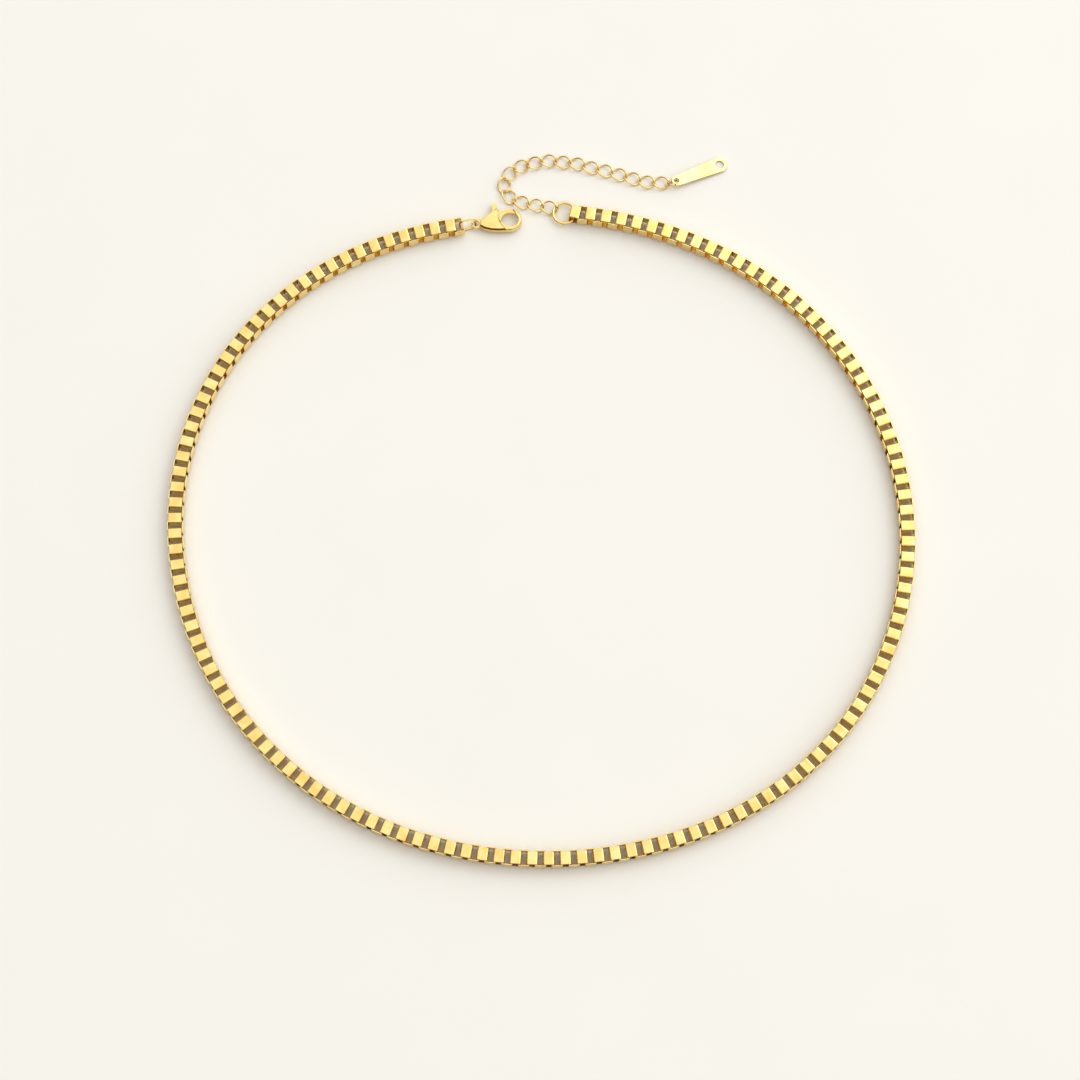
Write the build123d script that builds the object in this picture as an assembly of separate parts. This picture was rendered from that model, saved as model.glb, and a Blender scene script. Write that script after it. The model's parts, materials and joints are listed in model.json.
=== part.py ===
from build123d import *
import math
import os

# Fine chain necklace lying closed on a table: a box chain of square band links, a lobster
# clasp on one end, a catch ring with a curb extender chain and a drop tag on the other.
# All lengths are millimetres. +Z is up, the table is z = 0, and the front of the necklace
# (the part that hangs lowest when it is worn) faces -Y.

# ---- box chain ----
LINK_WIDTH = 3.0            # outside of the square ring, across the chain
LINK_LENGTH = 2.1           # outside of the square ring, along the chain
BAND_WIDTH = 2.4            # width of the flat band each ring is bent from
BAND_THICKNESS = 0.2
LINK_CORNER = 0.35          # outside bend radius of the band
BAND_EDGE = 0.05            # broken edge along both sides of the band
LINK_PITCH = 1.508          # one link to the next along the chain
LINK_COUNT = 260
SEGMENT_COUNT = 35
ROOT_SEGMENT = 18
CHAIN_HEIGHT = LINK_WIDTH / 2

# The chain lies in a slightly lopsided oval that opens a little from the clasp end to the
# ring end. The radius is a mean, a steady growth, and a few waves, each
# (waves per turn, cosine part, sine part).
LOOP_CENTRE = (-0.36, 1.97)
LOOP_RADIUS = 65.62
LOOP_GROWTH = 1.03          # per half turn
LOOP_MIDDLE = 274.5         # degrees, where the radius is the mean
LOOP_WAVES = ((2, 3.12, -0.82), (3, 0.08, 0.18), (4, -0.24, -0.13))
LOOP_START = 104.4          # degrees, link at the clasp end
FIRST_LINK_TURN = 6.0       # degrees the end links are pulled out of line by the
LAST_LINK_TURN = -7.0       # clasp link and by the catch ring

# ---- clasp link: a loop of wire through the last box link and the clasp's eye ----
CLASP_LINK_LENGTH = 3.4
CLASP_LINK_WIDTH = 3.08
CLASP_LINK_WIRE = 0.35
CLASP_LINK_CORNER = 0.75
CLASP_LINK_LEAN = 18.0      # degrees it leans over from upright
CLASP_LINK_GAP = 0.3        # between its near bend and the end wall of the box link
END_BAND_WIDTH = 2.0        # the last box link is narrower, so the wire passes under it

# ---- lobster clasp, measured from the centre of its eye ----
CLASP_THICKNESS = 1.9
EYE_RADIUS = 1.0
EYE_HOLE = 0.62
EYE_THICKNESS = 0.7
WINDOW_CENTRE = (6.55, 0.7)
WINDOW_RADII = (1.72, 1.5)
HOOK_CENTRE = (6.5, 0.75)
HOOK_RADII = (2.3, 2.25)
CLASP_HEIGHT = 1.01         # middle of the casting above the table
EYE_OFFSET = (0.1, -0.16)   # eye centre from the clasp link's far bend, along and across it
WEB_OUTLINE = (
    (0.75, 0.5), (3.9, 3.05), (4.45, 2.4), (4.45, 0.7), (5.3, -0.5),
    (6.2, -1.45), (4.6, -1.55), (3.0, -1.5), (1.6, -1.15), (0.7, -0.65),
)
SLOT_OUTLINE = (
    (1.9, -0.9), (1.9, 1.1), (2.9, 1.1), (2.9, 4.5),
    (5.4, 4.5), (5.4, -0.4), (4.3, -0.9),
)
CLASP_PIVOT = (3.5, -0.25)
RIVET_RADIUS = 0.3
RIVET_HEAD = 0.42
LEVER_THICKNESS = 0.9
LEVER_HUB = 0.6
LEVER_ARM = ((3.0, -0.3), (3.1, 2.5), (4.9, 2.75), (4.9, 0.2), (4.0, -0.5))
LEVER_NUB = ((3.1, 2.2), (3.1, 4.05), (3.8, 4.05), (3.8, 2.2))
LEVER_HEEL = ((2.05, -0.75), (3.4, -0.75), (3.4, -0.3), (2.05, -0.3))
LEVER_REACH = 4.66          # the gate's tip stays inside this radius about the pivot
SLOT_HEIGHT = 1.06
TIP_GAP = 0.08
SPRING_COIL = 0.22
SPRING_WIRE = 0.1
SPRING_SEAT = (2.35, -0.2)
SPRING_LENGTH = 1.2

# ---- catch ring ----
RING_OUTSIDE = 4.8
RING_WIRE = 0.56
RING_HEIGHT = 0.88          # centre of the ring above the table
RING_SETBACK = 1.1          # centre of the ring beyond the end of the last box link

# ---- curb extender ----
CURB_LENGTH = 3.65
CURB_WIDTH = 2.7
CURB_WIRE = 0.36
CURB_TWIST = 45.0           # degrees each end of a link is turned out of flat
CURB_PITCH = 2.83
CURB_TUCK = 0.0075          # pitch lost for each degree a pair of links is turned
CURB_HEIGHT = 0.63          # middle of a link above the table
CURB_START_HEIGHTS = (0.88, 0.8, 0.73, 0.68)  # the first links come down from the catch ring
FIRST_CURB_ROLL = -20.0     # degrees the first curb link is rolled to stand in the ring
CURB_SECTIONS = 24          # round sections the wire is lofted through, an even number
CURB_AWAY = 158             # degrees, from the catch ring's centre to the first curb link
CURB_HEADINGS = (169, 166, 154, 112, 67, 35, 16, 10, -5, -7, -16, -14, -16, -17, -15, -4)

# ---- tag ring and tag ----
TAG_RING_OUTSIDE = 2.4
TAG_RING_WIRE = 0.33
TAG_RING_LEAN = -50.0
TAG_RING_HEIGHT = 0.98
TAG_LENGTH = 11.6
TAG_WIDE = 3.0
TAG_NARROW = 2.2
TAG_THICKNESS = 0.45
TAG_HOLE = 0.9              # radius of the hole at the wide end
TAG_RING_HOLE = 0.55        # radius of the hole the tag ring runs in
TAG_SLOPE = 4.0             # degrees down towards the wide end, which rests on the table
TAG_HOLE_INSET = 0.95       # centre of that hole from the narrow end
TAG_HEADING = 23.0


# Moves the finished necklace so that the middle of its base is the origin.
SHIFT = (-0.221, -7.683, 0.0)


def loop_radius(angle):
    radius = LOOP_RADIUS + LOOP_GROWTH * (angle - math.radians(LOOP_MIDDLE)) / math.pi
    for order, cosine, sine in LOOP_WAVES:
        radius += cosine * math.cos(order * angle) + sine * math.sin(order * angle)
    return radius


def loop_point(angle):
    radius = loop_radius(angle)
    return (LOOP_CENTRE[0] + radius * math.cos(angle), LOOP_CENTRE[1] + radius * math.sin(angle))


def chain_stations():
    """Centre and heading (degrees) of every box link, from the clasp end round to the ring."""
    stations = []
    angle = math.radians(LOOP_START)
    for index in range(LINK_COUNT):
        here = loop_point(angle)
        ahead = loop_point(angle + 0.001)
        behind = loop_point(angle - 0.001)
        run = math.hypot(ahead[0] - behind[0], ahead[1] - behind[1]) / 0.002
        heading = math.degrees(math.atan2(ahead[1] - behind[1], ahead[0] - behind[0]))
        stations.append((here[0], here[1], heading))
        angle += LINK_PITCH / run
    x, y, heading = stations[0]
    stations[0] = (x, y, heading + FIRST_LINK_TURN)
    x, y, heading = stations[-1]
    stations[-1] = (x, y, heading + LAST_LINK_TURN)
    return stations


def segment_bounds():
    """First link and one-past-last link of every chain segment."""
    edges = [round(i * LINK_COUNT / SEGMENT_COUNT) for i in range(SEGMENT_COUNT + 1)]
    return list(zip(edges[:-1], edges[1:]))


def extender_stations():
    """Centre and heading of every curb link, from the catch ring out to the tag."""
    ring = ring_centre()
    reach = (RING_OUTSIDE - RING_WIRE) / 2 + CURB_LENGTH / 2 - CURB_WIRE - RING_WIRE / 2 - 0.25
    x, y = beyond((ring[0], ring[1], CURB_AWAY), reach)
    ways = (CURB_HEADINGS[0],) + CURB_HEADINGS + (CURB_HEADINGS[-1],)
    turns = [(a + b) / 2 for a, b in zip(ways[:-1], ways[1:])]
    stations = [(x, y, turns[0])]
    for index, way in enumerate(CURB_HEADINGS):
        turned = abs(way - turns[index]) + abs(turns[index + 1] - way)
        x, y = beyond((x, y, way), CURB_PITCH - CURB_TUCK * turned)
        stations.append((x, y, turns[index + 1]))
    return stations


def curb_height(number):
    if number <= len(CURB_START_HEIGHTS):
        return CURB_START_HEIGHTS[number - 1]
    return CURB_HEIGHT


def beyond(station, distance):
    """The point straight ahead of a link, at this distance from its centre."""
    x, y, heading = station
    angle = math.radians(heading)
    return (x + distance * math.cos(angle), y + distance * math.sin(angle))


def ring_centre():
    return beyond(chain_stations()[-1], LINK_LENGTH / 2 + RING_SETBACK)


def eye_centre():
    """The clasp's eye hangs from the far bend of the clasp link."""
    x, y, heading = chain_stations()[0]
    reach = LINK_LENGTH / 2 - BAND_THICKNESS - CLASP_LINK_GAP - CLASP_LINK_WIRE
    bend = beyond((x, y, heading + 180), reach + CLASP_LINK_LENGTH - CLASP_LINK_WIRE / 2)
    ahead = beyond((bend[0], bend[1], heading + 180), EYE_OFFSET[0])
    return beyond((ahead[0], ahead[1], heading + 270), EYE_OFFSET[1])


def clasp_link_station():
    x, y, heading = chain_stations()[0]
    reach = LINK_LENGTH / 2 - BAND_THICKNESS - CLASP_LINK_GAP - CLASP_LINK_WIRE
    middle = beyond((x, y, heading + 180), reach + CLASP_LINK_LENGTH / 2)
    return (middle[0], middle[1], heading + 180)


def tag_ring_centre():
    return beyond(extender_stations()[-1], CURB_LENGTH / 2 - CURB_WIRE + TAG_RING_OUTSIDE / 2 - TAG_RING_WIRE - 0.2)


def tag_station():
    """Centre of the tag's small hole, and the way the tag points."""
    x, y = tag_ring_centre()
    reach = (TAG_RING_OUTSIDE - TAG_RING_WIRE) / 2
    ahead = beyond((x, y, TAG_HEADING), reach)
    return (ahead[0], ahead[1], TAG_HEADING)


def curb_point(phase):
    """A point on the middle of a curb link's wire: an oval twisted about its own length."""
    reach = (CURB_LENGTH - CURB_WIRE) / 2
    half = (CURB_WIDTH - CURB_WIRE) / 2
    x = reach * math.cos(phase)
    y = half * math.sin(phase)
    roll = math.radians(CURB_TWIST) * x / reach
    return (x, y * math.cos(roll), y * math.sin(roll))


def place(x, y, z, heading):
    return Pos(x, y, z) * Rot(0, 0, heading)


def box_link(band):
    """A square ring bent from flat band, standing on edge, with its window across the chain."""
    outside = RectangleRounded(LINK_LENGTH, LINK_WIDTH, LINK_CORNER)
    inside = RectangleRounded(
        LINK_LENGTH - 2 * BAND_THICKNESS,
        LINK_WIDTH - 2 * BAND_THICKNESS,
        LINK_CORNER - BAND_THICKNESS,
    )
    block = extrude(outside, band / 2, both=True)
    rims = block.faces().filter_by(Axis.Z).edges()
    block = chamfer(rims, BAND_EDGE)
    ring = block - extrude(inside, band, both=True)
    return ring.rotate(Axis.X, 90)


def curb_section(phase):
    """The wire's round section at one place on a curb link."""
    ahead = Vector(*curb_point(phase + 0.001))
    behind = Vector(*curb_point(phase - 0.001))
    along = (ahead - behind).normalized()
    origin = Vector(*curb_point(phase))
    outward = (origin - along * origin.dot(along)).normalized()
    return Plane(origin=origin, z_dir=along, x_dir=outward) * Circle(CURB_WIRE / 2)


def curb_link():
    """Wire oval, made as short lofted lengths whose skins are sewn into one closed solid."""
    sections = [curb_section(2 * math.pi * i / CURB_SECTIONS) for i in range(CURB_SECTIONS + 1)]
    lengths = [loft(sections[i:i + 3]) for i in range(0, CURB_SECTIONS, 2)]
    skins = [face for piece in lengths for face in piece.faces() if face.geom_type != GeomType.PLANE]
    return Solid(Shell(Face.sew_faces(skins)[0]))


def wire_ring(outside, wire):
    return Torus((outside - wire) / 2, wire / 2)


def clasp_link():
    """A rounded loop of round wire in the XZ plane."""
    path = Plane.XZ * RectangleRounded(
        CLASP_LINK_LENGTH - CLASP_LINK_WIRE, CLASP_LINK_WIDTH - CLASP_LINK_WIRE, CLASP_LINK_CORNER
    ).wire()
    profile = Plane(origin=path @ 0, z_dir=path % 0) * Circle(CLASP_LINK_WIRE / 2)
    return sweep(profile, path=path)


def disc(centre, radius, height):
    return Pos(centre[0], centre[1], 0) * Cylinder(radius, height)


def oval(centre, radii, height):
    return Pos(centre[0], centre[1], 0) * extrude(Ellipse(*radii), height / 2, both=True)


def slab(points, height):
    return extrude(make_face(Polyline(*points, close=True)), height / 2, both=True)


def pie(centre, radius, start, end, height):
    """A wedge of a disc between two angles, in degrees."""
    count = 12
    angles = [math.radians(start + (end - start) * i / count) for i in range(count + 1)]
    rim = [(centre[0] + radius * math.cos(a), centre[1] + radius * math.sin(a)) for a in angles]
    return slab([centre] + rim, height)


def soften(shape, radius):
    """Round the top and bottom rims of a flat casting."""
    rims = shape.faces().filter_by(Axis.Z).edges()
    return fillet(rims, radius)


def clasp_body():
    """The casting: an eye, a pear-shaped web with a slot for the lever, and the fixed hook."""
    hook = soften(oval(HOOK_CENTRE, HOOK_RADII, CLASP_THICKNESS - 0.4), 0.45)
    web = slab(WEB_OUTLINE, CLASP_THICKNESS)
    web = chamfer(web.faces().filter_by(Axis.Z).edges(), 0.3)
    eye = soften(disc((0, 0), EYE_RADIUS, EYE_THICKNESS), 0.2)
    gate_sweep = pie(CLASP_PIVOT, LEVER_REACH + TIP_GAP, 18, 96, 3)
    body = hook - pie(HOOK_CENTRE, 4, 80, 185, 3) - gate_sweep
    body = body + web + eye
    body = body - oval(WINDOW_CENTRE, WINDOW_RADII, 3)
    body = body - disc((0, 0), EYE_HOLE, 3)
    body = body - slab(SLOT_OUTLINE, SLOT_HEIGHT) - disc(CLASP_PIVOT, LEVER_HUB + 0.15, SLOT_HEIGHT)
    body = body - disc(CLASP_PIVOT, RIVET_RADIUS, 3)
    return body


def clasp_lever():
    """Hub, thumb nub, heel against the spring, and the gate that closes the hook."""
    band = oval(HOOK_CENTRE, (HOOK_RADII[0] - 0.05, HOOK_RADII[1] - 0.05), LEVER_THICKNESS)
    band = band - oval(WINDOW_CENTRE, WINDOW_RADII, 3)
    band = band & pie(HOOK_CENTRE, 4, 50, 195, 3)
    band = band & disc(CLASP_PIVOT, LEVER_REACH, 3)
    arm = slab(LEVER_ARM, LEVER_THICKNESS)
    nub = slab(LEVER_NUB, LEVER_THICKNESS)
    nub = nub + Pos(3.45, 4.05, 0) * Cylinder(0.35, LEVER_THICKNESS)
    heel = slab(LEVER_HEEL, LEVER_THICKNESS)
    hub = disc(CLASP_PIVOT, LEVER_HUB, LEVER_THICKNESS)
    lever = band + arm - oval(WINDOW_CENTRE, WINDOW_RADII, 3)
    lever = lever + nub + heel + hub
    return lever - disc(CLASP_PIVOT, RIVET_RADIUS + 0.04, 3)


def clasp_rivet():
    """A pin through the casting and the lever's hub, its ends spread into low heads."""
    pin = disc(CLASP_PIVOT, RIVET_RADIUS, CLASP_THICKNESS)
    heads = [
        Pos(CLASP_PIVOT[0], CLASP_PIVOT[1], side * (CLASP_THICKNESS / 2 + 0.03)) * Cylinder(RIVET_HEAD, 0.06)
        for side in (-1, 1)
    ]
    return pin + heads[0] + heads[1]


def clasp_spring():
    """A small coil between the lever's heel and the end of the slot."""
    path = Helix(pitch=0.2, height=SPRING_LENGTH, radius=SPRING_COIL)
    profile = Plane(origin=path @ 0, z_dir=path % 0) * Circle(SPRING_WIRE / 2)
    coil = sweep(profile, path=path, is_frenet=True)
    return Pos(*SPRING_SEAT, 0) * coil.rotate(Axis.X, -90)


def tag():
    """A flat paddle, narrow at the tag ring and wide at the far end, a hole through each."""
    far = TAG_LENGTH - TAG_NARROW / 2 - TAG_WIDE / 2
    lean = math.asin((TAG_WIDE - TAG_NARROW) / 2 / far)
    narrow = (TAG_NARROW / 2 * -math.sin(lean), TAG_NARROW / 2 * math.cos(lean))
    wide = (far - TAG_WIDE / 2 * math.sin(lean), TAG_WIDE / 2 * math.cos(lean))
    sides = [narrow, wide, (wide[0], -wide[1]), (narrow[0], -narrow[1])]
    plate = slab(sides, TAG_THICKNESS)
    plate = plate + disc((0, 0), TAG_NARROW / 2, TAG_THICKNESS) + disc((far, 0), TAG_WIDE / 2, TAG_THICKNESS)
    plate = chamfer(plate.faces().filter_by(Axis.Z).edges(), 0.08)
    plate = plate - disc((far, 0), TAG_HOLE, 3)
    plate = Pos(TAG_NARROW / 2 - TAG_HOLE_INSET, 0, 0) * plate
    return plate - disc((0, 0), TAG_RING_HOLE, 3)


def chain_solids():
    """Every box link in place. Odd links stand on edge, even ones lie on their side."""
    standing = box_link(BAND_WIDTH)
    lying = Rot(90, 0, 0) * box_link(BAND_WIDTH)
    lying_end = Rot(90, 0, 0) * box_link(END_BAND_WIDTH)
    solids = []
    for index, (x, y, heading) in enumerate(chain_stations()):
        if index == 0:
            shape = lying_end
        elif index % 2:
            shape = standing
        else:
            shape = lying
        solids.append(place(x, y, CHAIN_HEIGHT, heading) * shape)
    return solids


def all_nodes():
    """Every node of the necklace, named, in the place it has on the table."""
    nodes = {}
    links = chain_solids()
    for number, (first, last) in enumerate(segment_bounds(), start=1):
        nodes[f"chain_{number:02d}"] = links[first:last]

    x, y, heading = clasp_link_station()
    leaning = Rot(-CLASP_LINK_LEAN, 0, 0) * clasp_link()
    nodes["clasp_link"] = [place(x, y, CHAIN_HEIGHT, heading) * leaning]

    eye = eye_centre()
    for name, shape in (
        ("clasp_body", clasp_body()),
        ("clasp_lever", clasp_lever()),
        ("clasp_rivet", clasp_rivet()),
        ("clasp_spring", clasp_spring()),
    ):
        nodes[name] = [Pos(eye[0], eye[1], CLASP_HEIGHT) * shape]

    ring = ring_centre()
    nodes["catch_ring"] = [Pos(ring[0], ring[1], RING_HEIGHT) * wire_ring(RING_OUTSIDE, RING_WIRE)]

    curb = curb_link()
    for number, (x, y, heading) in enumerate(extender_stations(), start=1):
        height = curb_height(number)
        roll = FIRST_CURB_ROLL if number == 1 else 0
        nodes[f"extender_{number:02d}"] = [place(x, y, height, heading) * Rot(roll, 0, 0) * curb]

    x, y = tag_ring_centre()
    tilted = Rot(TAG_RING_LEAN, 0, 0) * wire_ring(TAG_RING_OUTSIDE, TAG_RING_WIRE)
    nodes["tag_ring"] = [place(x, y, TAG_RING_HEIGHT, TAG_HEADING) * tilted]
    x, y, heading = tag_station()
    nodes["tag"] = [place(x, y, TAG_RING_HEIGHT, heading) * Rot(0, TAG_SLOPE, 0) * tag()]
    return nodes


if __name__ == "__main__":
    os.makedirs("parts", exist_ok=True)
    nodes = all_nodes()
    whole = Compound(children=[Compound(children=solids) for solids in nodes.values()])
    box = whole.bounding_box()
    print("before shift", box.min, box.max)
    for name, solids in nodes.items():
        export_step(Pos(*SHIFT) * Compound(children=list(solids)), f"parts/{name}.step")
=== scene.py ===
import json
import math

import bpy
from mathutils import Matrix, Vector


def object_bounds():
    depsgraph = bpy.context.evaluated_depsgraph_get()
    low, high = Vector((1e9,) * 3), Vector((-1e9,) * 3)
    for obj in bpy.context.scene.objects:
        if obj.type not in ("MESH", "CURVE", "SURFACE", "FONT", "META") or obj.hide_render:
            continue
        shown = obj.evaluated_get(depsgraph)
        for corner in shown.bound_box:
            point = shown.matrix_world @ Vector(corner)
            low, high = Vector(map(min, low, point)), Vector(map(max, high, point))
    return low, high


# A gold-plated box chain necklace lying on a pale table. Lengths are metres, in the frame's axes.
MM = 0.001

# ---- colours (scene linear) ----
GOLD_PALE = (1.000, 0.830, 0.350, 1)
GOLD_DEEP = (0.960, 0.640, 0.190, 1)
# painted shade: the dark colour the gold is pulled towards in its recesses, standing in for shadow there
GOLD_PAINTED_SHADE = (0.300, 0.130, 0.030, 1)
SPRING_LIGHT = (0.60, 0.59, 0.57, 1)
SPRING_DARK = (0.38, 0.37, 0.36, 1)
# painted shade: the dark colour the spring steel is pulled towards in its recesses, standing in for
# shadow there
SPRING_PAINTED_SHADE = (0.12, 0.11, 0.10, 1)
TABLE_PALE = (0.968, 0.965, 0.930, 1)
TABLE_DEEP = (0.958, 0.954, 0.917, 1)
SOFTBOX = (1.0, 0.985, 0.96)
SKY_BRIGHT = (1.0, 0.985, 0.95, 1)
SKY_DARK = (0.10, 0.055, 0.025, 1)

# ---- metal: noise values between LOW and HIGH are spread over the whole of a colour or gloss range ----
NOISE_LOW = 0.3
NOISE_HIGH = 0.7
CLOUD_DETAIL = 2.0
GRAIN_DETAIL = 4.0
RELIEF_DEPTH = 0.02 * MM

# ---- painted shade in recesses: the share of open sky at which the metal's colour is painted darkest, and at which it is clear ----
RECESS_REACH = 0.9 * MM
RECESS_SAMPLES = 8
RECESS_DARKEST = 0.15
RECESS_CLEAR = 0.75

# sockets of the Mix node when it mixes colours
MIX_FACTOR = 0
MIX_FIRST = 6
MIX_SECOND = 7
MIX_RESULT = 2

# ---- table ----
TABLE_ROUGHNESS = 0.85
TABLE_SPECULAR = 0.1
FIBRE_SCALE = 40.0
FIBRE_DETAIL = 6.0
FLOOR_SIZE = 6.0
FLOOR_GAP = 0.02 * MM

# ---- studio light: a bright tent above, behind and to the right, dark low down at the front left ----
TENT_SIDE = (0.42, 0.34, 0.84)
TENT_STRENGTH = 1.105
TENT_DARK_EDGE = 0.02
TENT_BRIGHT_EDGE = 0.62
KEY_POWER = 2.6
KEY_PLACE = (0.55, 0.45, 0.9)
KEY_SIZE = (0.8, 0.8)

# ---- camera: above the table, tilted from straight overhead towards the front ----
CAMERA_TILT = math.radians(14.84)
CAMERA_DISTANCE = 539.9 * MM
CAMERA_LENS = 95.9
CAMERA_SENSOR = 36.0
CAMERA_CLIP = 10 * MM
LOOK_AT = (-0.221 * MM, -7.683 * MM, 0)


def ramp(tree, colours, source):
    node = tree.nodes.new("ShaderNodeValToRGB")
    elements = node.color_ramp.elements
    elements[0].position, elements[0].color = NOISE_LOW, colours[0]
    elements[1].position, elements[1].color = NOISE_HIGH, colours[1]
    tree.links.new(source, node.inputs["Fac"])
    return node.outputs["Color"]


def noise(tree, scale, detail, coordinates):
    node = tree.nodes.new("ShaderNodeTexNoise")
    node.inputs["Scale"].default_value = scale
    node.inputs["Detail"].default_value = detail
    tree.links.new(coordinates, node.inputs["Vector"])
    return node.outputs["Fac"]


def remap(tree, source, low, high):
    node = tree.nodes.new("ShaderNodeMapRange")
    node.inputs["From Min"].default_value = NOISE_LOW
    node.inputs["From Max"].default_value = NOISE_HIGH
    node.inputs["To Min"].default_value = low
    node.inputs["To Max"].default_value = high
    tree.links.new(source, node.inputs["Value"])
    return node.outputs["Result"]


def paint_recess_shade(tree, colour, recess_shade):
    """Paint shade into the metal's colour where other surfaces stand close, as between the links and in
    their windows.
    """
    hollow = tree.nodes.new("ShaderNodeAmbientOcclusion")
    hollow.samples = RECESS_SAMPLES
    hollow.inputs["Distance"].default_value = RECESS_REACH
    reach = tree.nodes.new("ShaderNodeMapRange")
    reach.inputs["From Min"].default_value = RECESS_DARKEST
    reach.inputs["From Max"].default_value = RECESS_CLEAR
    tree.links.new(hollow.outputs["AO"], reach.inputs["Value"])
    mix = tree.nodes.new("ShaderNodeMix")
    mix.data_type = "RGBA"
    mix.inputs[MIX_FIRST].default_value = recess_shade
    tree.links.new(reach.outputs["Result"], mix.inputs[MIX_FACTOR])
    tree.links.new(colour, mix.inputs[MIX_SECOND])
    return mix.outputs[MIX_RESULT]


def metal(name, pale, deep, recess_shade, roughness, cloud_scale, grain_scale, bump):
    """Metal with slow drifts of tone, shade painted into its recesses, a fine grain in the gloss and a
    faint relief.
    """
    material = bpy.data.materials.new(name)
    material.use_nodes = True
    tree = material.node_tree
    shader = tree.nodes["Principled BSDF"]
    shader.inputs["Metallic"].default_value = 1.0
    where = tree.nodes.new("ShaderNodeTexCoord").outputs["Object"]
    cloud = noise(tree, cloud_scale, CLOUD_DETAIL, where)
    grain = noise(tree, grain_scale, GRAIN_DETAIL, where)
    # the tone is pulled towards painted shade where the metal stands in a recess
    tone = paint_recess_shade(tree, ramp(tree, (deep, pale), cloud), recess_shade)
    tree.links.new(tone, shader.inputs["Base Color"])
    tree.links.new(remap(tree, grain, roughness[0], roughness[1]), shader.inputs["Roughness"])
    relief = tree.nodes.new("ShaderNodeBump")
    relief.inputs["Strength"].default_value = bump
    relief.inputs["Distance"].default_value = RELIEF_DEPTH
    tree.links.new(grain, relief.inputs["Height"])
    tree.links.new(relief.outputs["Normal"], shader.inputs["Normal"])
    return material


def chain_gold():
    return metal("chain_gold", GOLD_PALE, GOLD_DEEP, GOLD_PAINTED_SHADE,
                 roughness=(0.12, 0.24), cloud_scale=420.0, grain_scale=1500.0, bump=0.06)


def findings_gold():
    return metal("findings_gold", GOLD_PALE, GOLD_DEEP, GOLD_PAINTED_SHADE,
                 roughness=(0.10, 0.20), cloud_scale=260.0, grain_scale=900.0, bump=0.03)


def spring_steel():
    return metal("spring_steel", SPRING_LIGHT, SPRING_DARK, SPRING_PAINTED_SHADE,
                 roughness=(0.20, 0.35), cloud_scale=300.0, grain_scale=3000.0, bump=0.2)


def paint(frame):
    """Give each CAD node the finish of its material slot."""
    finishes = {"box_chain": chain_gold(), "findings": findings_gold(), "spring_wire": spring_steel()}
    slot_of = {part["node"]: part["material_slot"] for part in frame["record"]["subparts"]}
    for name, node in frame["nodes"].items():
        node.data.materials.clear()
        node.data.materials.append(finishes[slot_of[name]])


def table_top():
    material = bpy.data.materials.new("table_paper")
    material.use_nodes = True
    tree = material.node_tree
    shader = tree.nodes["Principled BSDF"]
    shader.inputs["Roughness"].default_value = TABLE_ROUGHNESS
    shader.inputs["Specular IOR Level"].default_value = TABLE_SPECULAR
    where = tree.nodes.new("ShaderNodeTexCoord").outputs["Object"]
    fibre = noise(tree, FIBRE_SCALE, FIBRE_DETAIL, where)
    tree.links.new(ramp(tree, (TABLE_DEEP, TABLE_PALE), fibre), shader.inputs["Base Color"])
    return material


def floor(height):
    half = FLOOR_SIZE / 2
    corners = [(-half, -half, height), (half, -half, height), (half, half, height), (-half, half, height)]
    mesh = bpy.data.meshes.new("table")
    mesh.from_pydata(corners, [], [(0, 1, 2, 3)])
    mesh.materials.append(table_top())
    table = bpy.data.objects.new("table", mesh)
    bpy.context.collection.objects.link(table)


def aim(thing, place, target):
    thing.location = place
    thing.rotation_euler = (Vector(target) - Vector(place)).to_track_quat("-Z", "Y").to_euler()


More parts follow.
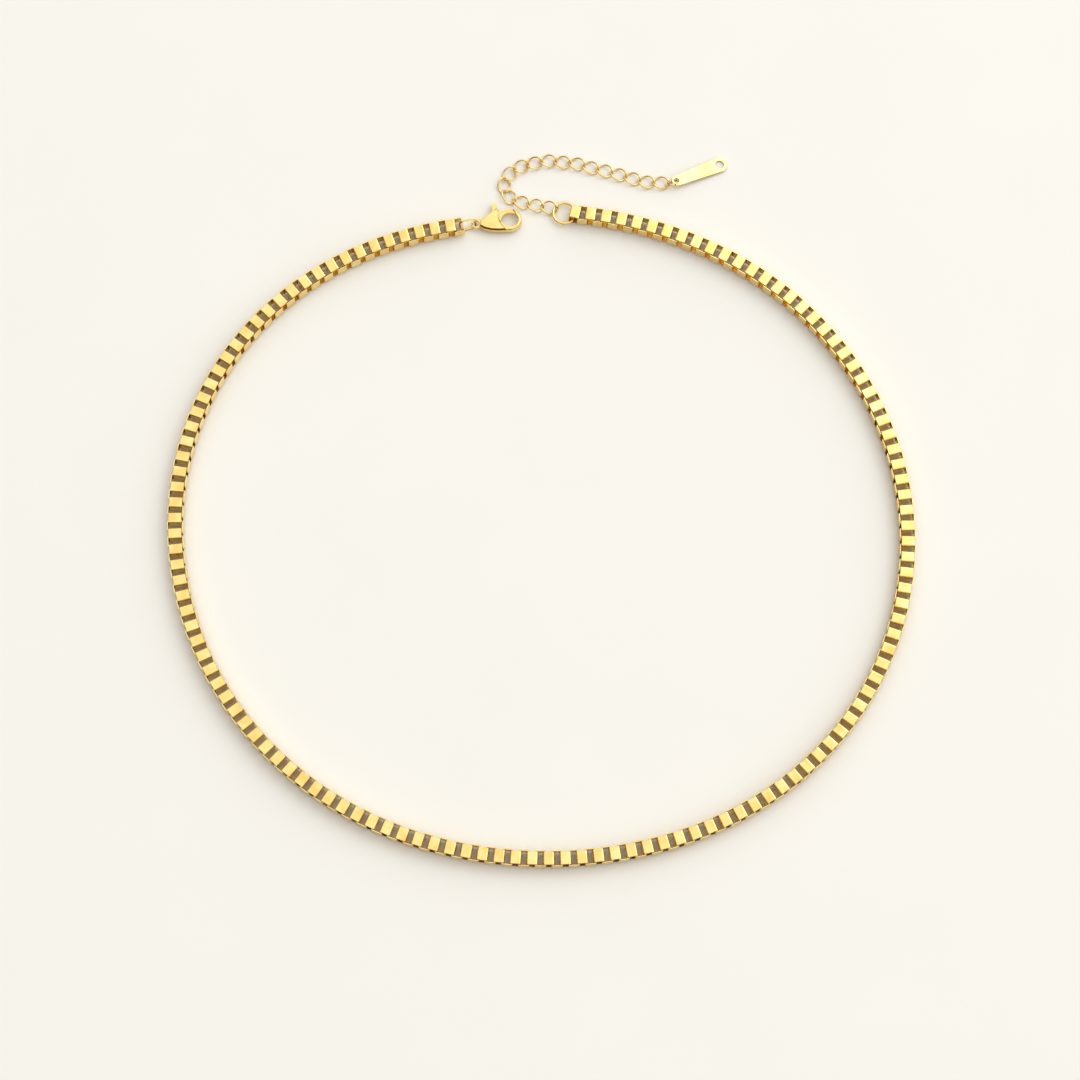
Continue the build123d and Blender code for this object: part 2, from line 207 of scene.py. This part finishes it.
def photograph_camera():
    camera = bpy.data.objects.new("camera", bpy.data.cameras.new("camera"))
    bpy.context.collection.objects.link(camera)
    camera.data.lens = CAMERA_LENS
    camera.data.sensor_width = CAMERA_SENSOR
    camera.data.clip_start = CAMERA_CLIP
    lean = Vector((0, -math.sin(CAMERA_TILT), math.cos(CAMERA_TILT)))
    look_at = Vector(LOOK_AT)
    aim(camera, look_at + lean * CAMERA_DISTANCE, look_at)
    bpy.context.scene.camera = camera


def tent():
    """A dome that is bright towards TENT_SIDE and falls away to a warm dark."""
    world = bpy.data.worlds.new("studio")
    bpy.context.scene.world = world
    world.use_nodes = True
    tree = world.node_tree
    facing = tree.nodes.new("ShaderNodeVectorMath")
    facing.operation = "DOT_PRODUCT"
    facing.inputs[1].default_value = Vector(TENT_SIDE).normalized()
    tree.links.new(tree.nodes.new("ShaderNodeTexCoord").outputs["Generated"], facing.inputs[0])
    fall = tree.nodes.new("ShaderNodeValToRGB")
    fall.color_ramp.elements[0].position, fall.color_ramp.elements[0].color = TENT_DARK_EDGE, SKY_DARK
    fall.color_ramp.elements[1].position, fall.color_ramp.elements[1].color = TENT_BRIGHT_EDGE, SKY_BRIGHT
    tree.links.new(facing.outputs["Value"], fall.inputs["Fac"])
    background = tree.nodes["Background"]
    background.inputs["Strength"].default_value = TENT_STRENGTH
    tree.links.new(fall.outputs["Color"], background.inputs["Color"])


def softbox(name, place, target, size, power):
    data = bpy.data.lights.new(name, "AREA")
    data.shape = "RECTANGLE"
    data.size, data.size_y = size
    data.energy = power
    data.color = SOFTBOX
    light = bpy.data.objects.new(name, data)
    bpy.context.collection.objects.link(light)
    aim(light, place, target)


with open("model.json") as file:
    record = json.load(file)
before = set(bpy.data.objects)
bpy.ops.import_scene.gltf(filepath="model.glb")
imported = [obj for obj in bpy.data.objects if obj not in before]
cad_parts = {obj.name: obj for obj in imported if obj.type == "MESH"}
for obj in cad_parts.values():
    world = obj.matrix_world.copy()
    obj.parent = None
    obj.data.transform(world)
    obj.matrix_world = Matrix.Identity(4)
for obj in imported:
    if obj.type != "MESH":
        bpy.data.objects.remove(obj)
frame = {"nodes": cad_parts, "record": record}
cad_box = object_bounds()
centre = (cad_box[0] + cad_box[1]) / 2
centre.z = 0

paint(frame)
floor(cad_box[0].z - FLOOR_GAP)
photograph_camera()
tent()
softbox("key", KEY_PLACE, centre, KEY_SIZE, KEY_POWER)
bpy.context.scene.view_settings.view_transform = "Standard"
